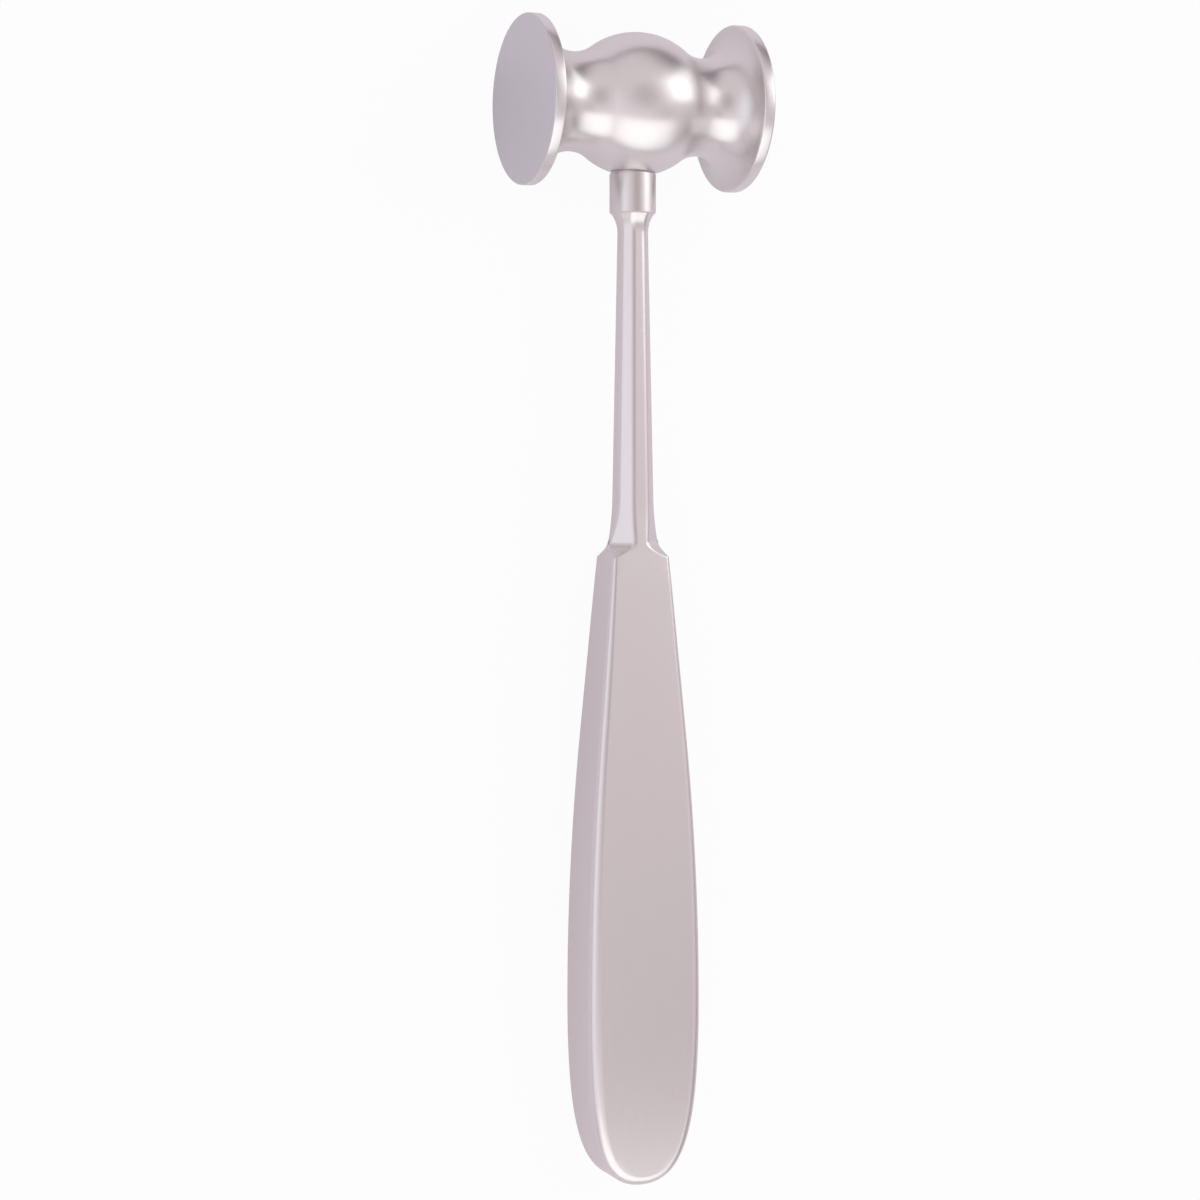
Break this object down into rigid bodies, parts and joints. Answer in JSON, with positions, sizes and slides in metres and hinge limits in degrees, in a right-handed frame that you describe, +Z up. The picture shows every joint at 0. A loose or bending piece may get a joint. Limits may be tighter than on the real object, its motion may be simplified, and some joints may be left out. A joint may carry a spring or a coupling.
{
  "type": "surgical mallet",
  "caption": "Steel surgical mallet: a turned spool-shaped head with flat striking faces on a slim eight-sided neck that ramps out into a broad grip with a rounded butt.",
  "frame": {"origin": "on the ground under the middle of the mallet's bounding box, as it lies at rest", "axes": "+X along the head's axis from one striking face to the other, +Y from the butt of the grip to the head, +Z up from the ground"},
  "size_m": [0.0424, 0.2108, 0.03],
  "materials": {
    "head_steel": "satin, turned grain around the head's axis",
    "handle_steel": "satin, fine grain along the handle"
  },
  "bodies": {
    "root": {"head": "head_steel", "handle": "handle_steel"}
  },
  "joints": []
}
